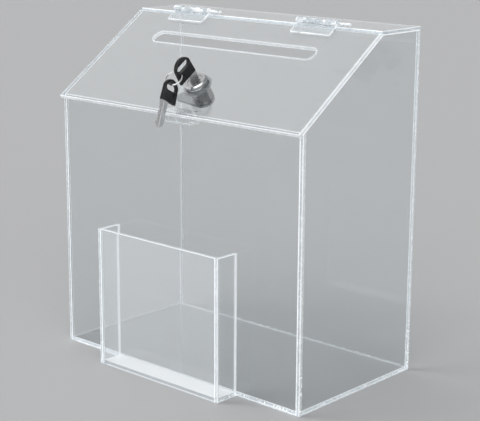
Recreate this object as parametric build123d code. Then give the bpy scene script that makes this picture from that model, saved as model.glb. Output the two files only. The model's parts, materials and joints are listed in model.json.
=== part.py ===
from build123d import *
import math
import os

# Lockable ballot box of clear sheet with a leaflet pocket on its front.
# All sizes are in millimetres. The origin is the centre of the box's underside,
# +X runs to the right seen from the front, +Y to the back and +Z up.

os.makedirs("parts", exist_ok=True)

# The box
box_width = 250.0
box_depth = 135.0
back_height = 271.0
front_height = 207.0
sheet = 3.0
strip_depth = 47.5
edge_break = 0.25
glue_gap = 0.05
lid_seat_gap = 0.12
overrun = 1.0

# The leaflet pocket
pocket_width = 128.0
pocket_depth = 21.0
pocket_height = 111.0

# The lid and its slot
lid_overhang = 3.5
lid_end_setback = 3.2
slot_length = 167.0
slot_width = 12.6
slot_from_hinge = 32.0

# The two clear hinges
hinge_from_side = 60.0
hinge_width = 38.6
hinge_rise = 2.5
hinge_axis_gap = 1.0
knuckle_radius = 2.35
knuckle_count = 4
knuckle_gap = 0.3
leaf_reach = 12.6
leaf_thickness = 1.5
leaf_notch_gap = 0.45
leaf_corner = 2.2
leaf_edge_break = 0.3
hinge_pin_radius = 1.25
running_gap = 0.05
hinge_pin_stand_out = 12.4

# The cam lock
flange_radius = 9.3
flange_height = 3.0
flange_chamfer = 1.0
barrel_radius = 8.0
barrel_flats = 13.6
barrel_length = 18.0
barrel_chamfer = 0.6
hole_clearance = 0.1
plug_radius = 6.0
plug_recess = 0.3
plug_end_gap = 0.2
tang_side = 5.5
washer_radius = 10.8
washer_thickness = 0.9
washer_dish = 0.35
nut_across_flats = 20.0
nut_thickness = 2.6
nut_chamfer = 0.5
cam_thickness = 2.0
cam_boss_radius = 7.5
cam_tip_radius = 4.5
screw_thread_radius = 2.0
screw_length = 8.0
screw_head_radius = 4.2
screw_head_height = 2.4
screw_head_chamfer = 0.7
screw_slot_width = 1.1
screw_slot_depth = 1.2
mark_length = 5.2
mark_width = 1.7
mark_depth = 0.6
mark_offset = 3.4

# The catch that the cam turns under
catch_width = 28.0
catch_depth = 11.0
catch_nut_gap = 3.9
catch_cam_gap = 0.6
catch_cam_overlap = 3.0

# The two keys
key_stand_out = 6.3
blade_length = 20.2
blade_width = 8.0
blade_thickness = 2.0
blade_tang = 6.0
blade_tip_run = 2.6
blade_tip_width = 2.4
blade_groove_width = 1.5
blade_groove_depth = 0.45
blade_groove_offset = 1.4
tooth_pitch = 2.7
tooth_first = 4.2
tooth_depth = 1.7
tooth_flat = 0.7
tooth_depth_shares = (0.55, 1.0, 0.4, 0.8, 0.6)
keyway_gap = 0.15
keyway_depth = 14.0
head_width = 17.8
head_top_width = 16.6
head_side_height = 12.2
head_height = 17.4
head_thickness = 3.2
head_offset = 4.5
head_edge_break = 0.55
head_hole_length = 14.2
head_hole_width = 5.4
head_hole_height = 11.2

# The split ring: two flat turns of wire pressed together
ring_radius = 6.55
ring_wire_width = 0.75
ring_wire_height = 0.52
ring_corner = 0.14
ring_groove = 0.1
ring_split_gap = 0.45
ring_split_angle = 35.0
ring_hole_gap = 0.6
ring_droop_angle = 4.0
ring_roll_angle = 12.0

# How the spare key hangs on the ring
spare_ring_angle = 4.0
spare_facing_angle = 100.0
spare_lean_angle = 2.2
spare_tip_out_angle = 25.0
spare_hole_shift = 2.4

# Places that follow from the sizes above
front_y = -box_depth / 2
back_y = box_depth / 2
inner_width = box_width - 2 * sheet - 2 * glue_gap
wall_top = back_height - sheet - glue_gap
strip_front_y = back_y - strip_depth
hinge_y = strip_front_y - hinge_axis_gap
hinge_z = back_height + hinge_rise

# The lid lies on the sloping side panels, and its top face passes below the
# hinge line by the same rise as the top strip does.
lid_drop = hinge_rise + sheet + lid_seat_gap
hinge_run = hinge_y - front_y
hinge_climb = hinge_z - front_height
hinge_reach = math.hypot(hinge_run, hinge_climb)
lid_angle = math.degrees(math.acos(lid_drop / hinge_reach) - math.atan2(hinge_run, hinge_climb))
lid_cos = math.cos(math.radians(lid_angle))
lid_sin = math.sin(math.radians(lid_angle))
slope_end_y = front_y + (wall_top - front_height) / math.tan(math.radians(lid_angle))

# The lid's own frame: its origin is on the top face straight under the hinge
# line, x runs to the right, y up the slope and z out of the lid.
lid_normal = Vector(0, -lid_sin, lid_cos)
lid_frame = Plane(
    origin=Vector(0, hinge_y, hinge_z) - lid_normal * hinge_rise,
    x_dir=(1, 0, 0),
    z_dir=lid_normal,
).location
front_edge_run = hinge_run * lid_cos + hinge_climb * lid_sin
lid_bottom = -(front_edge_run + lid_overhang)
lid_top_end = -lid_end_setback

# The lock stands as far behind the catch as its nut needs, and the cam reaches
# under the catch. Runs are measured back from the front face of the box.
barrel_end = -barrel_length
cam_top = barrel_end - plug_end_gap
cam_bottom = cam_top - cam_thickness
nut_corner_radius = nut_across_flats / math.sqrt(3)
nut_bottom = sheet + 2 * glue_gap + washer_thickness + nut_thickness
catch_back = sheet + glue_gap + catch_depth
nut_corner_run = catch_back + catch_nut_gap - nut_bottom * lid_sin
lock_from_front = nut_corner_run / lid_cos + nut_corner_radius
slope_to_front = (hinge_run + hinge_rise * lid_sin) / lid_cos
lid_top_at_front = hinge_z - hinge_rise * lid_cos - slope_to_front * lid_sin
lock_from_hinge = slope_to_front - lock_from_front
cam_tip_run = catch_back - catch_cam_overlap
cam_reach = lock_from_front - (cam_tip_run + cam_bottom * lid_sin) / lid_cos
catch_bottom = lid_top_at_front + (cam_top + catch_back * lid_sin) / lid_cos + catch_cam_gap

# The lock's own frame: its origin is where its axis leaves the lid's top face.
lock_frame = lid_frame * Location((0, -lock_from_hinge, 0))
key_frame = lock_frame * Location((0, 0, flange_height + key_stand_out))


def save(part, name):
    export_step(part, os.path.join("parts", name + ".step"))


def block(x_span, y_span, z_span):
    """A box between two values on each axis."""
    size = [high - low for low, high in (x_span, y_span, z_span)]
    middle = [(high + low) / 2 for low, high in (x_span, y_span, z_span)]
    return Pos(*middle) * Box(*size)


def panel(x_span, y_span, z_span):
    """A flat sheet with its sharp edges broken."""
    sheet_part = block(x_span, y_span, z_span)
    return chamfer(sheet_part.edges(), edge_break)


def disc(radius, z_span):
    low, high = z_span
    return Pos(0, 0, (low + high) / 2) * Cylinder(radius, high - low)


def along_x(face_points, x_span):
    """Extrude an outline given in Y and Z between two values of X."""
    low, high = x_span
    outline = make_face(Polyline(*face_points, close=True))
    return Pos(low, 0, 0) * extrude(Plane.YZ * outline, high - low)


def base_panel():
    half = inner_width / 2
    inside = sheet + glue_gap
    return panel((-half, half), (front_y + inside, back_y - inside), (0, sheet))


def upright_panel(y_span, top):
    half = inner_width / 2
    return panel((-half, half), y_span, (0, top))


def side_panel(side):
    inner = side * (box_width / 2 - sheet)
    outer = side * box_width / 2
    points = [
        (front_y, 0),
        (back_y, 0),
        (back_y, wall_top),
        (slope_end_y, wall_top),
        (front_y, front_height),
    ]
    wall = along_x(points, (min(inner, outer), max(inner, outer)))
    return chamfer(wall.edges(), edge_break)


def top_strip():
    half = box_width / 2
    return panel((-half, half), (strip_front_y, back_y), (back_height - sheet, back_height))


def pocket_side(side):
    inner = side * (pocket_width / 2 - sheet)
    outer = side * pocket_width / 2
    y_span = (front_y - pocket_depth, front_y - glue_gap)
    return panel((min(inner, outer), max(inner, outer)), y_span, (0, pocket_height))


def pocket_front():
    half = pocket_width / 2 - sheet - glue_gap
    outer_y = front_y - pocket_depth
    return panel((-half, half), (outer_y, outer_y + sheet), (0, pocket_height))


def pocket_base():
    half = pocket_width / 2 - sheet - glue_gap
    y_span = (front_y - pocket_depth + sheet + glue_gap, front_y - glue_gap)
    return panel((-half, half), y_span, (0, sheet))


def lock_catch():
    half = catch_width / 2
    inner_face = front_y + sheet + glue_gap
    y_span = (inner_face, inner_face + catch_depth)
    return panel((-half, half), y_span, (catch_bottom, front_height))


def barrel_shape(radius, flats, z_span):
    """A round barrel with two flats."""
    low, high = z_span
    round_part = disc(radius, z_span)
    return round_part & block((-flats / 2, flats / 2), (-radius, radius), (low, high))


def lid_panel():
    half = box_width / 2
    plate = panel((-half, half), (lid_bottom, lid_top_end), (-sheet, 0))
    slot_cut = extrude(SlotOverall(slot_length, slot_width), sheet + 2 * overrun)
    slot_cut = Pos(0, -slot_from_hinge, -sheet - overrun) * slot_cut
    lock_hole = barrel_shape(
        barrel_radius + hole_clearance,
        barrel_flats + 2 * hole_clearance,
        (-sheet - overrun, overrun),
    )
    return lid_frame * (plate - slot_cut - Pos(0, -lock_from_hinge, 0) * lock_hole)


def hinge_leaf():
    """One leaf with the first and third knuckle; the axis is its X axis and the
    leaf runs along +Y on a surface that lies the hinge's rise below it."""
    pitch = hinge_width / knuckle_count
    surface = -hinge_rise
    leaf_top = surface + leaf_thickness
    notch = math.sqrt((knuckle_radius + leaf_notch_gap) ** 2 - leaf_top**2)
    plate = block((-hinge_width / 2, hinge_width / 2), (notch, leaf_reach), (surface, leaf_top))
    corners = plate.edges().filter_by(Axis.Z).group_by(Axis.Y)[-1]
    plate = fillet(corners, leaf_corner)
    rim = plate.faces().sort_by(Axis.Z)[-1].edges().group_by(Axis.Y)[1:]
    plate = chamfer([edge for group in rim for edge in group], leaf_edge_break)
    leaf = plate
    for index in range(0, knuckle_count, 2):
        start = -hinge_width / 2 + index * pitch + knuckle_gap / 2
        end = start + pitch - knuckle_gap
        middle = (start + end) / 2
        barrel = Pos(middle, 0, 0) * Rot(0, 90, 0) * Cylinder(knuckle_radius, end - start)
        web = block((start, end), (0, notch + edge_break), (surface + running_gap, leaf_top))
        leaf = leaf + barrel + web
    bore = Rot(0, 90, 0) * Cylinder(hinge_pin_radius + running_gap, hinge_width + 2 * overrun)
    return leaf - bore


def hinge_pin():
    """A pin through all four knuckles that stands out at its right-hand end."""
    length = hinge_width + hinge_pin_stand_out
    pin = Pos(hinge_pin_stand_out / 2, 0, 0) * Rot(0, 90, 0) * Cylinder(hinge_pin_radius, length)
    return chamfer(pin.edges().filter_by(GeomType.CIRCLE), edge_break)


def hinge_parts(side):
    axis_point = Location((side * (box_width / 2 - hinge_from_side), hinge_y, hinge_z))
    lid_turn = Location(Plane(origin=(0, 0, 0), x_dir=(-1, 0, 0), z_dir=lid_normal))
    fixed = axis_point * hinge_leaf()
    moving = axis_point * (lid_turn * hinge_leaf())
    pin = axis_point * hinge_pin()
    return fixed, moving, pin


def lock_housing():
    flange = disc(flange_radius, (0, flange_height))
    flange = chamfer(flange.edges().group_by(Axis.Z)[-1], flange_chamfer)
    barrel = disc(barrel_radius, (barrel_end, 0))
    barrel = chamfer(barrel.edges().group_by(Axis.Z)[0], barrel_chamfer)
    flat = block((-barrel_flats / 2, barrel_flats / 2), (-barrel_radius, barrel_radius), (barrel_end, 0))
    bore = disc(plug_radius + running_gap, (barrel_end - overrun, flange_height + overrun))
    return lock_frame * (flange + (barrel & flat) - bore)


def lock_washer():
    top = -sheet - glue_gap
    middle = barrel_radius + hole_clearance
    ring = disc(washer_radius, (top - washer_thickness, top)) - disc(middle, (top - washer_thickness, top))
    return lock_frame * chamfer(ring.edges().group_by(Axis.Z)[0], washer_dish)


def lock_nut():
    hexagon = extrude(RegularPolygon(nut_across_flats / 2, 6, major_radius=False), nut_thickness)
    cone = disc(nut_corner_radius, (0, nut_thickness))
    cone = chamfer(cone.edges(), nut_chamfer)
    bore = disc(barrel_radius + running_gap, (-overrun, nut_thickness + overrun))
    return lock_frame * Pos(0, 0, -nut_bottom) * ((hexagon & cone) - bore)


def lock_plug():
    """The turning core: a keyway from the front, and a square tang and a
    threaded hole for the cam at the back."""
    face = flange_height - plug_recess
    core = disc(plug_radius, (cam_top, face))
    core = chamfer(core.edges().group_by(Axis.Z)[-1], edge_break)
    half = tang_side / 2
    tang = block((-half, half), (-half, half), (cam_bottom, cam_top))
    screw_hole = disc(screw_thread_radius + running_gap, (cam_bottom - overrun, cam_bottom + screw_length))
    keyway_half = blade_thickness / 2 + keyway_gap
    keyway_side = blade_width / 2 + keyway_gap
    keyway = block(
        (-keyway_half, keyway_half),
        (-keyway_side, keyway_side),
        (face - keyway_depth, face + overrun),
    )
    mark = block(
        (mark_offset - mark_width / 2, mark_offset + mark_width / 2),
        (-mark_length / 2, mark_length / 2),
        (face - mark_depth, face + overrun),
    )
    return lock_frame * (core + tang - screw_hole - keyway - mark)


def lock_cam():
    """A flat cam that points to the left while the lock is open."""
    boss = Circle(cam_boss_radius)
    tip = Pos(-(cam_reach - cam_tip_radius), 0) * Circle(cam_tip_radius)
    outline = make_hull((boss + tip).edges())
    hole_side = tang_side + 2 * running_gap
    outline = outline - Rectangle(hole_side, hole_side)
    return lock_frame * Pos(0, 0, cam_bottom) * extrude(outline, cam_thickness)


def cam_screw():
    shank = disc(screw_thread_radius, (cam_bottom - running_gap, cam_bottom + screw_length - overrun))
    head_top = cam_bottom - running_gap
    head = disc(screw_head_radius, (head_top - screw_head_height, head_top))
    head = chamfer(head.edges().group_by(Axis.Z)[0], screw_head_chamfer)
    groove = block(
        (-screw_head_radius, screw_head_radius),
        (-screw_slot_width / 2, screw_slot_width / 2),
        (head_top - screw_head_height - overrun, head_top - screw_head_height + screw_slot_depth),
    )
    return lock_frame * (shank + head - groove)


def key_blade():
    """The steel of a key: x is its thickness, y its width and z points out of
    the lock, with zero at the lower edge of the plastic head."""
    half = blade_width / 2
    tip = -blade_length
    points = [
        (half, blade_tang),
        (half, tip + blade_tip_run),
        (blade_tip_width / 2, tip),
        (-blade_tip_width / 2, tip),
        (-half, tip + blade_tip_run),
        (-half, blade_tang),
    ]
    blade = along_x(points, (-blade_thickness / 2, blade_thickness / 2))
    for index, share in enumerate(tooth_depth_shares):
        middle = -tooth_first - index * tooth_pitch
        depth = tooth_depth * share
        spread = tooth_flat / 2 + depth
        cut = [
            (half - depth, middle - tooth_flat / 2),
            (half - depth, middle + tooth_flat / 2),
            (half + overrun, middle + spread + overrun),
            (half + overrun, middle - spread - overrun),
        ]
        blade = blade - along_x(cut, (-blade_thickness, blade_thickness))
    for side in (-1, 1):
        floor_x = side * (blade_thickness / 2 - blade_groove_depth)
        open_x = side * blade_thickness
        middle = -side * blade_groove_offset
        groove = block(
            (min(floor_x, open_x), max(floor_x, open_x)),
            (middle - blade_groove_width / 2, middle + blade_groove_width / 2),
            (tip - overrun, 0),
        )
        blade = blade - groove
    return blade


def key_head():
    half = head_width / 2
    top_half = head_top_width / 2
    base = Line((-half, 0), (half, 0))
    right = Line((half, 0), (top_half, head_side_height))
    crown = ThreePointArc((top_half, head_side_height), (0, head_height), (-top_half, head_side_height))
    left = Line((-top_half, head_side_height), (-half, 0))
    outline = make_face(Curve() + [base, right, crown, left])
    head = Pos(-head_thickness / 2, 0, 0) * extrude(Plane.YZ * outline, head_thickness)
    rims = head.faces().filter_by(Axis.X).edges()
    head = chamfer(rims, head_edge_break)
    slot = Pos(0, head_hole_height) * SlotOverall(head_hole_length, head_hole_width)
    hole = extrude(Plane.YZ * slot, head_thickness, both=True)
    head = Pos(0, -head_offset, 0) * (head - hole)
    tang_half = blade_width / 2
    tang = block(
        (-blade_thickness / 2, blade_thickness / 2),
        (-tang_half, tang_half),
        (-overrun, blade_tang),
    )
    return head - tang


def key_ring():
    """Two flat turns of wire side by side, each cut once where the wire ends."""
    inner = ring_radius - ring_wire_width / 2
    outer = ring_radius + ring_wire_width / 2
    top = ring_wire_height
    upper = [
        (inner, ring_groove),
        (inner, top - ring_corner),
        (inner + ring_corner, top),
        (outer - ring_corner, top),
        (outer, top - ring_corner),
        (outer, ring_groove),
        (outer - ring_groove, 0),
    ]
    lower = [(radius, -height) for radius, height in reversed(upper[:-1])]
    points = upper + lower + [(inner + ring_groove, 0)]
    ring = revolve(Plane.XZ * make_face(Polyline(*points, close=True)), Axis.Z)
    for side in (-1, 1):
        span = (min(0, side * overrun), max(0, side * overrun))
        split = block((inner - overrun, outer + overrun), (0, ring_split_gap), span)
        ring = ring - Rot(0, 0, side * ring_split_angle) * split
    return ring


# The ring passes through the hole of the key in the lock and rests in the part
# of the hole's end that lies lowest. The hinge of its swing is there.
hole_end_reach = head_hole_length / 2 - head_hole_width / 2
ring_play = head_hole_width / 2 - ring_wire_height - ring_hole_gap
ring_y = -head_offset - hole_end_reach - ring_play * lid_sin
ring_z = head_hole_height - ring_play * lid_cos
ring_pivot = key_frame * Location((0, ring_y, ring_z))
ring_tilt = ring_pivot * Location((0, 0, 0), (ring_droop_angle, 0, 0))
ring_frame = ring_tilt * Location((0, 0, 0), (0, ring_roll_angle, 0)) * Location((0, -ring_radius, 0))

# The spare key hangs on the far side of the ring.
spare_turn = math.radians(spare_ring_angle)
spare_pivot = ring_frame * Location(
    (ring_radius * math.sin(spare_turn), -ring_radius * math.cos(spare_turn), 0)
)
spare_hole_y = spare_hole_shift - head_offset
spare_hole_z = head_hole_height + ring_play
spare_frame = (
    Location(spare_pivot.position)
    * Location((0, 0, 0), (0, 0, spare_facing_angle))
    * Location((0, 0, 0), (-spare_lean_angle, 0, 0))
    * Location((0, 0, 0), (0, spare_tip_out_angle, 0))
    * Location((0, 0, 0), (0, 0, 90))
    * Location((0, -spare_hole_y, -spare_hole_z))
)


def build():
    pieces = {
        "base_panel": base_panel(),
        "front_panel": upright_panel((front_y, front_y + sheet), front_height),
        "back_panel": upright_panel((back_y - sheet, back_y), wall_top),
        "left_side_panel": side_panel(-1),
        "right_side_panel": side_panel(1),
        "top_strip": top_strip(),
        "pocket_front": pocket_front(),
        "pocket_left_side": pocket_side(-1),
        "pocket_right_side": pocket_side(1),
        "pocket_base": pocket_base(),
        "lock_catch": lock_catch(),
        "lid_panel": lid_panel(),
        "lock_housing": lock_housing(),
        "lock_washer": lock_washer(),
        "lock_nut": lock_nut(),
        "lock_plug": lock_plug(),
        "lock_cam": lock_cam(),
        "cam_screw": cam_screw(),
        "key_blade": key_frame * key_blade(),
        "key_head": key_frame * key_head(),
        "key_ring": ring_frame * key_ring(),
        "spare_key_blade": spare_frame * key_blade(),
        "spare_key_head": spare_frame * key_head(),
    }
    for side, word in ((-1, "left"), (1, "right")):
        fixed, moving, pin = hinge_parts(side)
        pieces[word + "_hinge_fixed_leaf"] = fixed
        pieces[word + "_hinge_lid_leaf"] = moving
        pieces[word + "_hinge_pin"] = pin
    return pieces


parts = build()
for name, part in parts.items():
    save(part, name)

print("lid angle", round(lid_angle, 3))
for label, place in (
    ("hinge", Vector(0, hinge_y, hinge_z)),
    ("lid normal", lid_normal),
    ("lock", lock_frame.position),
    ("ring pivot", ring_pivot.position),
    ("spare pivot", spare_pivot.position),
):
    print(label, [round(value, 4) for value in place])
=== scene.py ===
"""Looks of a clear acrylic ballot box with a sloped, lockable lid and a leaflet pocket. Metres."""

import json
import math

import bpy
from mathutils import Matrix, Vector


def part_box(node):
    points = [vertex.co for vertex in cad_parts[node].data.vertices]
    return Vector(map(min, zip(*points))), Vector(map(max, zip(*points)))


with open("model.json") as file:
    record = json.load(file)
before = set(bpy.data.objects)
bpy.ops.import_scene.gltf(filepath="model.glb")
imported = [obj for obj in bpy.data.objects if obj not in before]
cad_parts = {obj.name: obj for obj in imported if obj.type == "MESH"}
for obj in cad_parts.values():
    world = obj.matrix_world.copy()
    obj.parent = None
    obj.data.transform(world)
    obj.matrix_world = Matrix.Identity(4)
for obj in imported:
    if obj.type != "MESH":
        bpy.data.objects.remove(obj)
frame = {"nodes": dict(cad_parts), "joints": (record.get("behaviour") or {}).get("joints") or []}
nodes = frame["nodes"]
joints = {joint["name"]: joint for joint in frame["joints"]}
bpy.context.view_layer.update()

# Directions of the box, with X to the right, Y to the back and Z up
across = Vector((1, 0, 0))
inward = Vector((0, 1, 0))
upward = Vector((0, 0, 1))
lid_normal = Vector(joints["lock_turn"]["axis"])
down_lid = across.cross(lid_normal)

# Places read from the pieces
lock_centre = Vector(joints["lock_turn"]["pos_m"])
box_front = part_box("front_panel")[0].y
box_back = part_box("back_panel")[1].y
pocket_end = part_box("pocket_front")[0].y
sheet_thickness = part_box("base_panel")[1].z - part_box("base_panel")[0].z

# Clear sheet: how it bends light and tints what is behind it and the light on its way through
acrylic_ior = 1.49
acrylic_tint = (0.962, 0.977, 0.983, 1)
shadow_tint = (0.96, 0.968, 0.972, 1)

# Cut edges of it: a painted white highlight along the border on both sides of the greyer core, and where
# it has faded out
border_width = 0.00045
border_fade = 0.0008
glue_line_width = 0.0014

# Hinge leaves: the painted white highlight along the outline, and where it has faded out
outline_width = 0.0007
outline_fade = 0.0011

# The lock: its thread, and how far out on the flange the chamfer with its painted highlight starts
thread_pitch = 0.001
barrel_edge = 0.0079
flange_edge = 0.0078


class Value:
    """A number that varies over a surface. Sums and products of it add Math nodes."""

    def __init__(self, finish, socket):
        self.finish = finish
        self.socket = socket

    def math(self, operation, *terms):
        return self.finish.node("Math", {"operation": operation}, dict(enumerate(terms)))

    def __add__(self, other):
        return self.math("ADD", self, other)

    def __sub__(self, other):
        return self.math("SUBTRACT", self, other)

    def __mul__(self, other):
        return self.math("MULTIPLY", self, other)

    def __radd__(self, other):
        return self.math("ADD", other, self)

    def __rsub__(self, other):
        return self.math("SUBTRACT", other, self)

    def __rmul__(self, other):
        return self.math("MULTIPLY", other, self)

    def __abs__(self):
        return self.math("ABSOLUTE", self)

    def root(self):
        return self.math("SQRT", self)

    def larger(self, other):
        return self.math("MAXIMUM", self, other)

    def smaller(self, other):
        return self.math("MINIMUM", self, other)

    def wave(self, length):
        """A ripple between -1 and 1 that repeats at this length."""
        return self.math("SINE", self * (2 * math.pi / length))

    def rise(self, low, high, bottom=0.0, top=1.0):
        """Climb smoothly from bottom to top as the value goes from low to high."""
        inputs = {0: self, 1: low, 2: high, 3: bottom, 4: top}
        return self.finish.node("MapRange", {"interpolation_type": "SMOOTHSTEP"}, inputs)

    def fall(self, low, high):
        """Drop smoothly from 1 to 0 as the value goes from low to high."""
        return self.rise(low, high, bottom=1.0, top=0.0)

    def within(self, low, high):
        """1 where the value lies between two others, and 0 outside."""
        middle = (low + high) / 2
        half = (high - low) / 2
        return abs(self - middle).fall(0.9 * half, 1.1 * half)


class Finish:
    """The nodes of one material or of the world."""

    def __init__(self, owner):
        owner.use_nodes = True
        self.tree = owner.node_tree
        self.tree.nodes.clear()

    def node(self, kind, settings=None, sockets=None, output=0):
        """Add any node: its settings first, then the values or links of its sockets."""
        made = self.tree.nodes.new("ShaderNode" + kind)
        for name, setting in (settings or {}).items():
            setattr(made, name, setting)
        for name, value in (sockets or {}).items():
            if isinstance(value, Value):
                self.tree.links.new(value.socket, made.inputs[name])
            else:
                made.inputs[name].default_value = value
        return Value(self, made.outputs[output])

    def place(self):
        """The point on the piece, in metres from the middle of the box's underside."""
        return self.node("TexCoord", output="Object")

    def facing(self, direction):
        """How squarely the surface faces a direction or its opposite, from 0 to 1."""
        normal = self.node("TexCoord", output="Normal")
        return abs(self.along(normal, direction))

    def along(self, vector, direction):
        settings = {"operation": "DOT_PRODUCT"}
        return self.node("VectorMath", settings, {0: vector, 1: tuple(direction)}, "Value")

    def from_axis(self, point, direction):
        """Distance of the surface from a line through a point."""
        offset = self.node("VectorMath", {"operation": "SUBTRACT"}, {0: self.place(), 1: tuple(point)})
        settings = {"operation": "CROSS_PRODUCT"}
        turned = self.node("VectorMath", settings, {0: offset, 1: tuple(direction)})
        return self.node("VectorMath", {"operation": "LENGTH"}, {0: turned}, "Value")

    def noise(self, size, stretch=(1, 1, 1), detail=3.0, roughness=0.5):
        """Smooth noise whose lumps are about this size, drawn out where stretch is above 1."""
        scale = tuple(1 / (size * part) for part in stretch)
        point = self.node("VectorMath", {"operation": "MULTIPLY"}, {0: self.place(), 1: scale})
        inputs = {"Vector": point, "Scale": 1.0, "Detail": detail, "Roughness": roughness}
        return self.node("TexNoise", sockets=inputs, output=0)

    def specks(self, spacing, core, edge):
        """Round dots, one in each cell of that spacing; core and edge are shares of the spacing."""
        inputs = {"Vector": self.place(), "Scale": 1 / spacing, "Randomness": 1.0}
        distance = self.node("TexVoronoi", sockets=inputs, output="Distance")
        return distance.fall(core, edge)

    def blend(self, share, first, second):
        """A colour from the first to the second as share goes from 0 to 1."""
        inputs = {0: share, 6: first, 7: second}
        return self.node("Mix", {"data_type": "RGBA"}, inputs, 2)

    def bump(self, height, depth):
        """A surface raised by height, which goes from 0 to 1, times a depth in metres."""
        return self.node("Bump", sockets={"Distance": depth, "Height": height})

    def surface(self, **sockets):
        named = {name.replace("_", " "): value for name, value in sockets.items()}
        return self.node("BsdfPrincipled", sockets=named)

    def mix(self, share, first, second):
        return self.node("MixShader", sockets={0: share, 1: first, 2: second})

    def show(self, shader):
        made = self.tree.nodes.new("ShaderNodeOutputMaterial")
        self.tree.links.new(shader.socket, made.inputs["Surface"])


def material(name):
    made = bpy.data.materials.new(name)
    return made, Finish(made)


def wear(made, *piece_names):
    """Give CAD pieces a material."""
    for name in piece_names:
        nodes[name].data.materials.clear()
        nodes[name].data.materials.append(made)


def levels(points, direction):
    """Lowest and highest place of some points along a direction."""
    places = [point.dot(direction) for point in points]
    return min(places), max(places)


def mesh_points(piece):
    return [vertex.co for vertex in nodes[piece].data.vertices]


def see_through(finish, **sockets):
    """Solid clear plastic, which lets lamplight through to what is inside and below."""
    clear = finish.surface(Transmission_Weight=1.0, IOR=acrylic_ior, **sockets)
    bare = finish.node("BsdfTransparent", sockets={"Color": shadow_tint})
    shadow_ray = finish.node("LightPath", output="Is Shadow Ray")
    return finish.mix(shadow_ray, clear, bare)


def weld_share(finish, flat_axis):
    """White of the welds at a sheet's foot, and on a side sheet at its front and back too."""
    large_bubbles = finish.specks(spacing=0.0026, core=0.28, edge=0.42)
    fine_bubbles = finish.specks(spacing=0.001, core=0.22, edge=0.34)
    bubbly = large_bubbles.larger(fine_bubbles)
    height = finish.along(finish.place(), upward)
    at_foot = height.within(0, sheet_thickness)
    if flat_axis is not across:
        return at_foot * (0.1 + 0.75 * bubbly)
    depth = finish.along(finish.place(), inward)
    at_front = depth.within(box_front, box_front + sheet_thickness)
    at_back = depth.within(box_back - sheet_thickness, box_back)
    at_pocket = 0.3 * depth.within(pocket_end, pocket_end + sheet_thickness)
    upright_weld = at_front.larger(at_back).larger(at_pocket)
    near_foot = height.rise(0.01, 0.05, bottom=1.0, top=0.2)
    even_part = 0.1 * at_foot.larger(3.0 * upright_weld)
    return even_part + 0.65 * bubbly * at_foot.larger(upright_weld * near_foot)


def slot_rim_highlight(finish):
    """1 on the lid's faces within a millimetre of the voting slot."""
    nearer_than_corners = 0.1
    farther_than_lock = 0.02
    rim = [
        point for point in mesh_points("lid_panel")
        if farther_than_lock < abs(point.x) < nearer_than_corners
    ]
    low, high = levels(rim, down_lid)
    radius = (high - low) / 2
    straight_half = levels(rim, across)[1] - radius
    sideways = (abs(finish.along(finish.place(), across)) - straight_half).larger(0.0)
    downward = finish.along(finish.place(), down_lid) - (low + high) / 2
    distance = (sideways * sideways + downward * downward).root()
    return distance.fall(radius + 0.0005, radius + 0.0009)


def sawn_acrylic(finish, marks, polished, painted_glow_share, white=1.0):
    """A cut edge: frosted, with a greyer core, a painted white highlight at its border and a painted
    glow.

    It is as smooth as the sheet where the piece is polished.
    """
    core_tone = finish.blend(marks, (0.58, 0.65, 0.7, 1), (0.72, 0.78, 0.82, 1))
    # painted highlight: the border is set nearly white
    border_highlight_tone = finish.blend(marks, (0.84, 0.88, 0.91, 1), (0.98, 0.985, 0.99, 1))
    # painted glow: the edge shines by emission, though it is no lamp
    core_painted_glow = finish.blend(marks, (0.2, 0.24, 0.27, 1), (0.42, 0.46, 0.48, 1))
    border_painted_glow = finish.blend(marks, (0.84, 0.89, 0.92, 1), (0.96, 0.98, 0.99, 1))
    return finish.surface(
        Base_Color=finish.blend(white, core_tone, border_highlight_tone),
        Roughness=(0.4 - 0.15 * marks) * (1 - polished),
        IOR=acrylic_ior,
        Emission_Color=finish.blend(white, core_painted_glow, border_painted_glow),
        Emission_Strength=painted_glow_share,
    )


def sheet_acrylic(piece, flat_axis, welded=False, painted_glow_share=0.3, haze_and_sheen_share=0.004, core_white=0.0):
    """Cast sheet: polished faces, frosted saw-cut edges with painted highlights and a painted glow, and a
    bubbly solvent weld.
    """
    made, finish = material("clear_" + piece)
    facing = finish.facing(flat_axis)
    cut_face = facing.fall(0.3, 0.4)
    broken_edge = facing.fall(0.88, 0.94) - cut_face
    polished = 1 - cut_face - broken_edge

    low, high = levels(mesh_points(piece), flat_axis)
    half = (high - low) / 2
    from_middle = abs(finish.along(finish.place(), flat_axis) - (low + high) / 2)
    # painted highlight: the cut edge turns whiter towards its two borders
    white = from_middle.rise(half - border_fade, half - border_width, bottom=core_white)

    clear = see_through(
        finish,
        Base_Color=acrylic_tint,
        Roughness=0.0,
        Normal=finish.bump(finish.noise(size=0.06, detail=1.0), depth=0.00003),
    )
    saw_marks = finish.noise(size=0.0016, detail=4.0, roughness=0.65).rise(0.3, 0.7)
    cut = sawn_acrylic(finish, saw_marks, polished, painted_glow_share, white)
    # painted glints: patches where more of the edge shows white
    glints = finish.noise(size=0.009, detail=2.0).rise(0.38, 0.62)
    cut_share = 0.64 + 0.12 * glints + 0.1 * saw_marks + 0.12 * white

    smudge = finish.noise(size=0.02, detail=4.0).rise(0.55, 0.8)
    dust = finish.specks(spacing=0.013, core=0.012, edge=0.024)
    face_share = haze_and_sheen_share + 0.012 * smudge + 0.3 * dust
    if welded:
        face_share = face_share + weld_share(finish, flat_axis)
    if piece == "lid_panel":
        # painted highlight: the lid's faces are whiter round the slot's rim
        face_share = face_share + 0.32 * slot_rim_highlight(finish)
    if flat_axis is across:
        depth = finish.along(finish.place(), inward)
        face_share = face_share + 0.75 * depth.within(box_front - glue_line_width, box_front)
    # the chamfers are fully white, a painted highlight along the rims
    share = cut_share * cut_face + broken_edge + face_share * polished
    finish.show(finish.mix(share.smaller(1.0), clear, cut))
    return made


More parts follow.
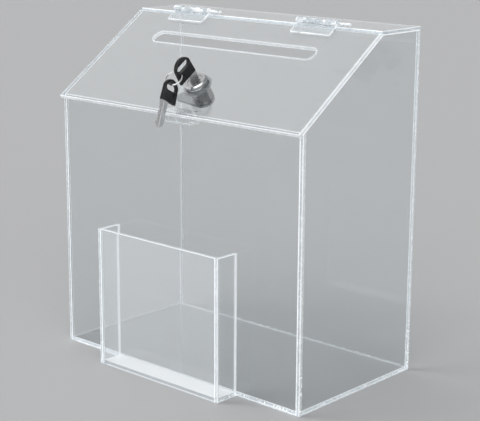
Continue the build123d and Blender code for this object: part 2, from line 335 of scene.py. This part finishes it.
def catch_acrylic():
    """A thick block of clear sheet with sawn sides, a painted highlight on its rims and a painted glow.
    """
    made, finish = material("catch_block_acrylic")
    facing = finish.facing(across).larger(finish.facing(inward)).larger(finish.facing(upward))
    rim = facing.fall(0.88, 0.94)
    sawn = finish.facing(across).rise(0.9, 0.95)
    marks = finish.noise(size=0.006, detail=1.0)
    clear = see_through(finish, Base_Color=acrylic_tint, Roughness=0.0)
    polished = 1 - rim.larger(sawn)
    cut = sawn_acrylic(finish, marks, polished, painted_glow_share=0.22)
    # painted highlight on the rims, a faint frosted share on the sawn sides
    share = 0.8 * rim + sawn * (0.1 + 0.04 * marks) + 0.008
    finish.show(finish.mix(share.smaller(1.0), clear, cut))
    return made


def opal_acrylic():
    """White translucent sheet: a painted glow on its top, and cut edges painted grey as shade."""
    made, finish = material("opal_pocket_acrylic")
    mottle = finish.noise(size=0.012, detail=3.0)
    grain = finish.noise(size=0.0012, detail=2.0)
    top = finish.facing(upward).rise(0.3, 0.9)
    white = finish.blend(mottle, (0.94, 0.95, 0.96, 1), (0.97, 0.975, 0.98, 1))
    # painted glow on the top; the edges get none
    glow = finish.blend(mottle, (0.9, 0.94, 0.97, 1), (1.0, 1.0, 1.0, 1))
    edge_shade_grey = (0.5, 0.52, 0.54, 1)
    no_glow = (0, 0, 0, 1)
    finish.show(
        finish.surface(
            Base_Color=finish.blend(top, edge_shade_grey, white),
            Roughness=0.16 + 0.12 * grain,
            Emission_Color=finish.blend(top, no_glow, glow),
            Emission_Strength=0.22,
            IOR=acrylic_ior,
            Normal=finish.bump(grain, depth=0.00002),
        )
    )
    return made


def hinge_plastic(piece, flat_axis, reach):
    """Moulded clear hinge: glassy with flow marks, a white barrel that is partly cloudy plastic and
    partly painted highlight, a painted highlight at its outline, and a painted glow.
    """
    made, finish = material("clear_" + piece)
    place = finish.place()
    curved = finish.facing(flat_axis).fall(0.9, 0.97)
    left, right = levels(mesh_points(piece), across)
    half = (right - left) / 2
    far_end = levels(mesh_points(piece), reach)[1]
    from_middle = abs(finish.along(place, across) - (left + right) / 2)
    at_sides = from_middle.rise(half - outline_fade, half - outline_width)
    at_end = finish.along(place, reach).rise(far_end - outline_fade, far_end - outline_width)
    outline = at_sides.larger(at_end)

    flow = finish.noise(size=0.003, stretch=(2.5, 1, 1), detail=3.0)
    patches = flow.rise(0.43, 0.57)
    glints = finish.noise(size=0.006, detail=1.0).rise(0.42, 0.58)
    clear = see_through(
        finish,
        Base_Color=(0.96, 0.97, 0.975, 1),
        Roughness=0.02 + 0.06 * flow,
        Normal=finish.bump(flow, depth=0.0002),
    )
    # painted highlight: white at the outline in glinting dashes, and on the barrel in patches
    white = ((0.3 + 0.6 * patches) * curved).larger(outline * (0.4 + 0.6 * glints))
    polished = 1 - curved.larger(outline)
    cloud_and_highlight = sawn_acrylic(finish, flow, polished, 0.22, white)
    flat_part = 0.1 + 0.14 * patches
    curved_part = curved * (0.18 + 0.5 * patches)
    outline_part = outline * (0.5 + 0.4 * glints)
    share = flat_part + curved_part + outline_part
    finish.show(finish.mix(share.smaller(1.0), clear, cloud_and_highlight))
    return made


def nickel_plate():
    """Turned brass with bright nickel: fine lathe rings, a painted highlight on the chamfer, and painted
    shade on the barrel below the lid.
    """
    made, finish = material("nickel_plated_lock")
    radius = finish.from_axis(lock_centre, lid_normal)
    height = finish.along(finish.place(), lid_normal) - lock_centre.dot(lid_normal)
    below_lid = height.fall(-0.0005, 0.0)
    upright = finish.facing(lid_normal).fall(0.1, 0.2)
    on_thread = radius.rise(barrel_edge - 0.0002, barrel_edge) * height.fall(-0.0005, -0.0004) * upright
    chamfer = finish.facing(lid_normal).within(0.4, 0.95) * radius.rise(flange_edge, flange_edge + 0.0004)

    ring_place = finish.node("CombineXYZ", sockets={0: radius, 1: height})
    ring_density = 2600.0
    rings = finish.node("TexNoise", sockets={"Vector": ring_place, "Scale": ring_density}, output=0)
    handling = finish.noise(size=0.003, detail=4.0)
    relief = 0.04 * rings + on_thread * (0.5 + 0.5 * height.wave(thread_pitch))

    face_tone = finish.blend(handling, (0.42, 0.42, 0.425, 1), (0.54, 0.54, 0.545, 1))
    # painted highlight: the chamfer is set much lighter than the face; painted shade: the barrel below
    # the lid is darker
    chamfer_highlight_tone = (0.93, 0.93, 0.93, 1)
    barrel_shade_tone = finish.blend(handling, (0.2, 0.2, 0.205, 1), (0.36, 0.36, 0.365, 1))
    above_lid = finish.blend(chamfer, face_tone, chamfer_highlight_tone)
    finish.show(
        finish.surface(
            Base_Color=finish.blend(below_lid, above_lid, barrel_shade_tone),
            Metallic=1.0,
            Roughness=0.14 + 0.1 * rings + 0.12 * handling.rise(0.45, 0.7),
            Normal=finish.bump(relief, depth=0.0003),
        )
    )
    return made


def zinc_steel():
    """Stamped steel with dull zinc: a faint bluish mottle and fine scratches."""
    made, finish = material("zinc_plated_steel")
    mottle = finish.noise(size=0.0025, detail=4.0)
    scratches = finish.noise(size=0.0004, stretch=(12, 1, 1), detail=3.0)
    finish.show(
        finish.surface(
            Base_Color=finish.blend(mottle, (0.27, 0.285, 0.3, 1), (0.44, 0.455, 0.465, 1)),
            Metallic=1.0,
            Roughness=0.26 + 0.2 * mottle,
            Normal=finish.bump(scratches, depth=0.00004),
        )
    )
    return made


def ring_steel():
    """Polished spring wire."""
    made, finish = material("polished_ring_wire")
    handling = finish.noise(size=0.003, detail=2.0)
    finish.show(
        finish.surface(
            Base_Color=finish.blend(handling, (0.86, 0.86, 0.86, 1), (0.95, 0.95, 0.95, 1)),
            Metallic=1.0,
            Roughness=0.1 + 0.08 * handling,
        )
    )
    return made


def key_steel():
    """Bright plated steel with milling lines along the blade."""
    made, finish = material("bright_key_steel")
    milling = finish.noise(size=0.0003, stretch=(1, 1, 14), detail=3.0)
    handling = finish.noise(size=0.002, detail=3.0)
    finish.show(
        finish.surface(
            Base_Color=finish.blend(handling, (0.62, 0.62, 0.625, 1), (0.78, 0.78, 0.78, 1)),
            Metallic=1.0,
            Roughness=0.24 + 0.14 * milling,
            Normal=finish.bump(milling, depth=0.00005),
        )
    )
    return made


def black_head():
    """Moulded black plastic: satin grain, rubbed a little shinier in patches."""
    made, finish = material("black_key_head_plastic")
    grain = finish.noise(size=0.00035, detail=2.0)
    rubbed = finish.noise(size=0.005, detail=3.0).rise(0.45, 0.65)
    finish.show(
        finish.surface(
            Base_Color=finish.blend(rubbed, (0.007, 0.007, 0.008, 1), (0.014, 0.014, 0.015, 1)),
            Roughness=0.42 - 0.12 * rubbed + 0.08 * grain,
            Normal=finish.bump(grain, depth=0.00006),
        )
    )
    return made


def dress_box():
    for piece in ("left_side_panel", "right_side_panel"):
        wear(sheet_acrylic(piece, across, welded=True), piece)
    # The pocket's sheets get more haze: partly real haze, partly a painted sheen that sets them lighter.
    for piece in ("pocket_left_side", "pocket_right_side"):
        wear(sheet_acrylic(piece, across, welded=True, haze_and_sheen_share=0.04), piece)
    for piece in ("front_panel", "back_panel"):
        wear(sheet_acrylic(piece, inward, welded=True), piece)
    for piece in ("base_panel", "top_strip"):
        wear(sheet_acrylic(piece, upward), piece)
    # more haze on the pocket front: partly real haze, partly painted sheen
    wear(sheet_acrylic("pocket_front", inward, haze_and_sheen_share=0.1), "pocket_front")
    # The lid's cut edges get a whiter core and a stronger glow: painted highlight and painted glow.
    wear(sheet_acrylic("lid_panel", lid_normal, painted_glow_share=0.4, core_white=0.6), "lid_panel")
    wear(catch_acrylic(), "lock_catch")
    wear(opal_acrylic(), "pocket_base")


def dress_hinges():
    for side in ("left", "right"):
        for part, flat_axis, reach in (
            ("fixed_leaf", upward, inward),
            ("lid_leaf", lid_normal, down_lid),
            ("pin", across, across),
        ):
            piece = side + "_hinge_" + part
            wear(hinge_plastic(piece, flat_axis, reach), piece)


def dress_lock_and_keys():
    wear(nickel_plate(), "lock_housing", "lock_plug")
    wear(zinc_steel(), "lock_washer", "lock_nut", "lock_cam", "cam_screw")
    wear(key_steel(), "key_blade", "spare_key_blade")
    wear(ring_steel(), "key_ring")
    wear(black_head(), "key_head", "spare_key_head")


def floor():
    """A wide pale table top, a hair below the box so that the two don't flicker."""
    half = 9.0
    table_drop = 0.0002
    mesh = bpy.data.meshes.new("floor")
    corners = [(-half, -half, 0), (half, -half, 0), (half, half, 0), (-half, half, 0)]
    mesh.from_pydata(corners, [], [(0, 1, 2, 3)])
    table = bpy.data.objects.new("floor", mesh)
    bpy.context.scene.collection.objects.link(table)
    table.location.z = -table_drop
    made, finish = material("pale_table")
    finish.show(finish.surface(Base_Color=(0.5, 0.502, 0.505, 1), Roughness=0.8))
    mesh.materials.append(made)


def studio():
    """Pale walls, a darker ceiling and two broad soft lights, all in the world, and a soft sun."""
    world = bpy.data.worlds.new("studio")
    bpy.context.scene.world = world
    finish = Finish(world)
    direction = finish.node("TexCoord", output="Generated")
    ceiling = finish.along(direction, upward).rise(0.1, 0.8)
    wall_grey = (0.6, 0.605, 0.61, 1)
    ceiling_grey = (0.2, 0.205, 0.215, 1)
    room = finish.blend(ceiling, wall_grey, ceiling_grey)
    light_over_the_lid = ((-0.62, 0.12, 0.76), 34, (0.95, 0.95, 0.95, 1))
    light_beside_the_viewer = ((0.5, -0.72, 0.47), 50, (1.5, 1.5, 1.5, 1))
    for place, reach, brightness in (light_over_the_lid, light_beside_the_viewer):
        toward = finish.along(direction, Vector(place).normalized())
        glow = toward.rise(math.cos(math.radians(reach)), math.cos(math.radians(reach / 8)))
        room = finish.blend(glow, room, brightness)
    background = finish.node("Background", sockets={"Color": room, "Strength": 1.0})
    output = finish.tree.nodes.new("ShaderNodeOutputWorld")
    finish.tree.links.new(background.socket, output.inputs["Surface"])

    lamp = bpy.data.lights.new("soft_sun", "SUN")
    lamp.energy = 1.5
    lamp.angle = math.radians(24)
    sun = bpy.data.objects.new("soft_sun", lamp)
    bpy.context.scene.collection.objects.link(sun)
    sun.visible_glossy = False
    sun.visible_transmission = False
    toward_sun = Vector((-0.45, -0.4, 0.8))
    sun.rotation_mode = "QUATERNION"
    sun.rotation_quaternion = toward_sun.to_track_quat("Z", "Y")


def camera():
    """The photograph's view: 42 degrees round to the right, looking 14 degrees down."""
    turn, dip, roll = (math.radians(angle) for angle in (42.21, 13.85, 0.292))
    viewpoint = (0.71526, -0.78268, 0.38187)
    ahead = Vector((-math.sin(turn) * math.cos(dip), math.cos(turn) * math.cos(dip), -math.sin(dip)))
    right = Vector((math.cos(turn), math.sin(turn), 0))
    above = right.cross(ahead)
    level = Matrix((right, above, -ahead)).transposed()
    lens = bpy.data.cameras.new("camera")
    lens.lens = 103.0
    lens.sensor_width = 36.0
    viewer = bpy.data.objects.new("camera", lens)
    bpy.context.scene.collection.objects.link(viewer)
    viewer.matrix_world = level.to_4x4() @ Matrix.Rotation(roll, 4, "Z")
    viewer.location = viewpoint
    bpy.context.scene.camera = viewer


dress_box()
dress_hinges()
dress_lock_and_keys()
floor()
studio()
camera()
bpy.context.scene.view_settings.view_transform = "Standard"
